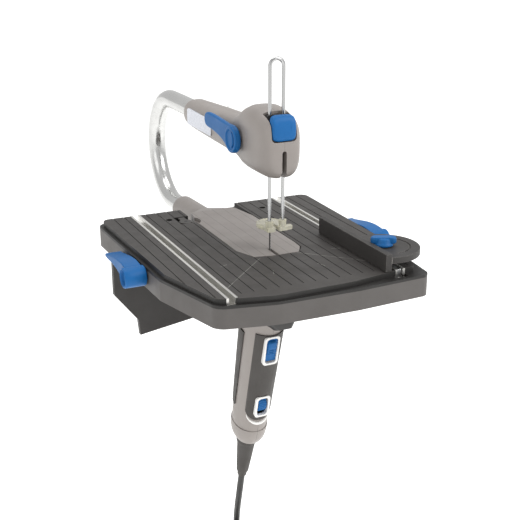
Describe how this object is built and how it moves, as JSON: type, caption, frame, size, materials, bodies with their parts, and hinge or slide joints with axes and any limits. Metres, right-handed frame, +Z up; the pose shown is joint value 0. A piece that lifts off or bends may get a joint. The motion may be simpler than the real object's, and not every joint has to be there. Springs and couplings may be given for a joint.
{
  "type": "scroll saw",
  "caption": "Bench-clamped scroll saw: a steel-tube C frame with a motor grip below, a plunging blade, a wire hold-down, and a slotted work table with rails and a mitre guide.",
  "frame": {"origin": "middle of the underside of the seat bar, which rests on the bench top", "axes": "+X right, +Y rearward over the bench, +Z up"},
  "size_m": [0.25, 0.3925, 0.667],
  "materials": {
    "dark_plastic": "moulded, fine texture",
    "warm_grey_plastic": "moulded, satin",
    "black_plastic": "moulded, satin",
    "painted_steel": "dark paint, edges worn",
    "steel": "machined",
    "aluminium": "extruded, anodised",
    "chrome": "polished",
    "blue_plastic": "moulded, soft gloss",
    "white_plastic": "moulded",
    "rubber": "soft grip",
    "cord_rubber": "smooth sheath",
    "brass": "machined",
    "board_green": "circuit board",
    "clear_plastic": "clear, slightly yellow"
  },
  "bodies": {
    "base": {"table": "dark_plastic", "left_rail": "aluminium", "right_rail": "aluminium", "rail_screws": "steel", "bench_stop_plate": "painted_steel", "seat_bar": "steel", "plate_screws": "steel"},
    "left_jaw": {"left_clamp_jaw": "steel", "left_jaw_pad": "rubber"},
    "right_jaw": {"right_clamp_jaw": "steel", "right_jaw_pad": "rubber"},
    "left_lever": {"left_clamp_lever": "blue_plastic", "left_lever_shaft": "steel"},
    "right_lever": {"right_clamp_lever": "blue_plastic", "right_lever_shaft": "steel"},
    "left_link": {"left_lock_link": "steel"},
    "right_link": {"right_lock_link": "steel"},
    "latch": {"saw_latch": "dark_plastic"},
    "saw": {"lower_arm": "warm_grey_plastic", "gear_housing": "black_plastic", "frame_tube": "chrome", "arm_left_shell": "warm_grey_plastic", "arm_right_shell": "warm_grey_plastic", "arm_screws": "steel", "side_plate": "white_plastic", "grip_left_shell": "warm_grey_plastic", "grip_right_shell": "warm_grey_plastic", "grip_front_pad": "rubber", "grip_side_pads": "rubber", "end_cap": "warm_grey_plastic", "strain_relief": "rubber", "switch_bezel": "white_plastic", "dial_bezel": "white_plastic", "switch_block": "black_plastic", "speed_board": "board_green", "motor_can": "steel", "motor_bearings": "steel", "crank_axle": "steel", "plunger_bush": "brass", "cord": "cord_rubber", "cord_coil": "cord_rubber", "plug": "cord_rubber"},
    "rotor": {"armature": "brass", "pinion": "brass"},
    "crank": {"crown_gear": "brass"},
    "blade_unit": {"plunger": "steel", "lower_blade_holder": "steel", "blade": "steel", "upper_blade_holder": "steel"},
    "switch": {"power_switch": "blue_plastic"},
    "dial": {"speed_dial": "blue_plastic"},
    "tension": {"tension_lever": "blue_plastic", "lever_pin": "steel"},
    "button": {"foot_lock_button": "blue_plastic"},
    "hold_down": {"hold_down_rod": "chrome", "blade_foot": "clear_plastic"},
    "guide": {"guide_bar": "steel", "guide_stud": "steel"},
    "fence": {"mitre_fence": "painted_steel"},
    "knob": {"guide_knob": "blue_plastic"}
  },
  "joints": [
    {"name": "saw_lift", "type": "slide", "parent": "base", "child": "saw", "axis": [0, 0, 1], "range_m": [0, 0.28]},
    {"name": "blade_stroke", "type": "slide", "parent": "saw", "child": "blade_unit", "axis": [0, 0, 1], "range_m": [-0.004, 0.004]},
    {"name": "motor_spin", "type": "hinge", "parent": "saw", "child": "rotor", "pos_m": [0, -0.1263, -0.01], "axis": [0, -0.2504, 0.9681], "continuous": true},
    {"name": "crank_spin", "type": "hinge", "parent": "saw", "child": "crank", "pos_m": [0, -0.1263, -0.01], "axis": [1, 0, 0], "continuous": true},
    {"name": "power_switch", "type": "slide", "parent": "saw", "child": "switch", "axis": [0, 0.2504, -0.9681], "range_m": [0, 0.0055]},
    {"name": "speed_dial", "type": "hinge", "parent": "saw", "child": "dial", "pos_m": [0, -0.11229, -0.1169], "axis": [1, 0, 0], "range_deg": [0, 270]},
    {"name": "tension_lever", "type": "hinge", "parent": "saw", "child": "tension", "pos_m": [-0.02, -0.112, 0.129], "axis": [1, 0, 0], "range_deg": [0, 70]},
    {"name": "foot_lock_button", "type": "slide", "parent": "saw", "child": "button", "axis": [0, 1, 0], "range_m": [0, 0.0025], "stiffness_N_per_m": 400},
    {"name": "hold_down", "type": "slide", "parent": "saw", "child": "hold_down", "axis": [0, 0, 1], "range_m": [-0.018, 0.034]},
    {"name": "left_clamp_lever", "type": "hinge", "parent": "base", "child": "left_lever", "pos_m": [-0.117, -0.119, 0.025], "axis": [1, 0, 0], "range_deg": [0, 90]},
    {"name": "right_clamp_lever", "type": "hinge", "parent": "base", "child": "right_lever", "pos_m": [0.117, -0.119, 0.025], "axis": [1, 0, 0], "range_deg": [0, 90]},
    {"name": "left_lock_link", "type": "slide", "parent": "base", "child": "left_link", "axis": [0, 1, 0], "range_m": [-0.002, 0]},
    {"name": "right_lock_link", "type": "slide", "parent": "base", "child": "right_link", "axis": [0, 1, 0], "range_m": [-0.002, 0]},
    {"name": "left_clamp_jaw", "type": "slide", "parent": "base", "child": "left_jaw", "axis": [0, 0, 1], "range_m": [-0.02, 0.023]},
    {"name": "right_clamp_jaw", "type": "slide", "parent": "base", "child": "right_jaw", "axis": [0, 0, 1], "range_m": [-0.02, 0.023]},
    {"name": "saw_latch", "type": "hinge", "parent": "base", "child": "latch", "pos_m": [-0.036, -0.031, 0.0357], "axis": [0, 0, 1], "range_deg": [-90, 0]},
    {"name": "guide_slide", "type": "slide", "parent": "base", "child": "guide", "axis": [0, 1, 0], "range_m": [0, 0.12]},
    {"name": "guide_swivel", "type": "hinge", "parent": "guide", "child": "fence", "pos_m": [0.073, -0.197, 0.045], "axis": [0, 0, 1], "range_deg": [-45, 25]},
    {"name": "guide_knob", "type": "hinge", "parent": "guide", "child": "knob", "pos_m": [0.073, -0.197, 0.053], "axis": [0, 0, 1], "range_deg": [0, 180]}
  ],
  "couplings": [
    {"joint": "crank_spin", "follows": "motor_spin", "ratio": 0.25},
    {"joint": "left_lock_link", "follows": "left_clamp_lever", "m_per_rad": -0.0012732},
    {"joint": "right_lock_link", "follows": "right_clamp_lever", "m_per_rad": -0.0012732}
  ]
}
